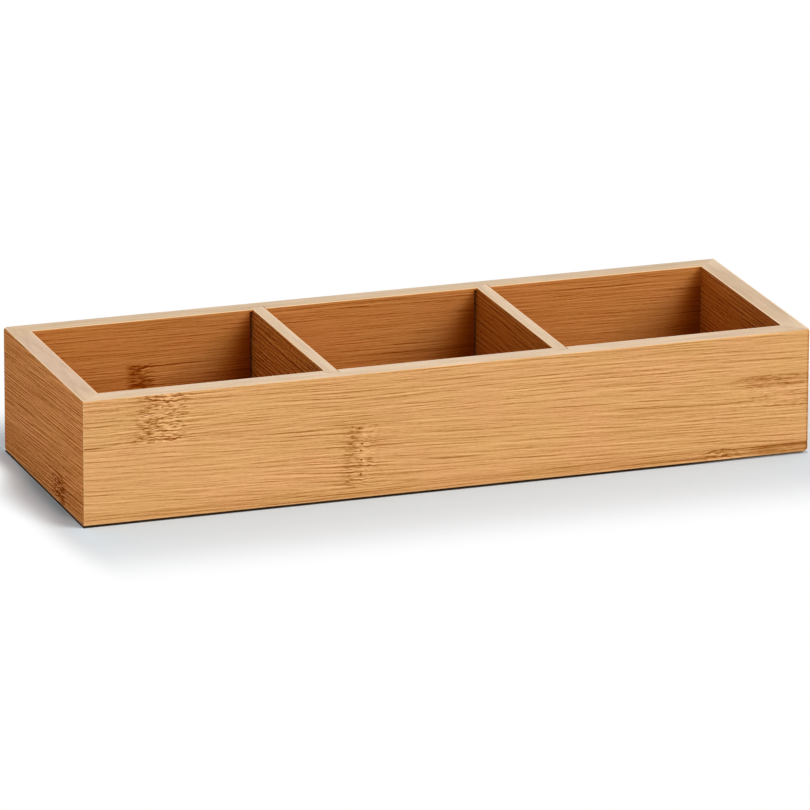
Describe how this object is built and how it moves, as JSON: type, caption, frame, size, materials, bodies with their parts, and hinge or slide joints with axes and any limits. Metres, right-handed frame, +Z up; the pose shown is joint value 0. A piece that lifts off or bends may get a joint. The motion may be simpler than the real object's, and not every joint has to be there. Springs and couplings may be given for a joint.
{
  "type": "open storage tray",
  "caption": "Long, low open bamboo box with mitred corners and cross dividers that make a row of rooms for small things.",
  "frame": {"origin": "middle of the underside, on the surface that the tray stands on", "axes": "+X to the right along the front board, +Y from the front to the back, +Z up out of the rooms"},
  "size_m": [0.3, 0.105, 0.051],
  "materials": {
    "long_boards": "clear satin varnish on caramel bamboo, grain along the board",
    "end_boards": "clear satin varnish on caramel bamboo, grain along the board",
    "dividers": "clear satin varnish on caramel bamboo, grain from front to back",
    "base": "thin satin bamboo sheet, grain along the tray",
    "tongues": "bare pale wood, hidden in the corners"
  },
  "bodies": {
    "root": {"front_board": "long_boards", "back_board": "long_boards", "left_end_board": "end_boards", "right_end_board": "end_boards", "left_divider": "dividers", "right_divider": "dividers", "base_panel": "base", "front_left_tongue": "tongues", "front_right_tongue": "tongues", "back_left_tongue": "tongues", "back_right_tongue": "tongues"}
  },
  "joints": []
}
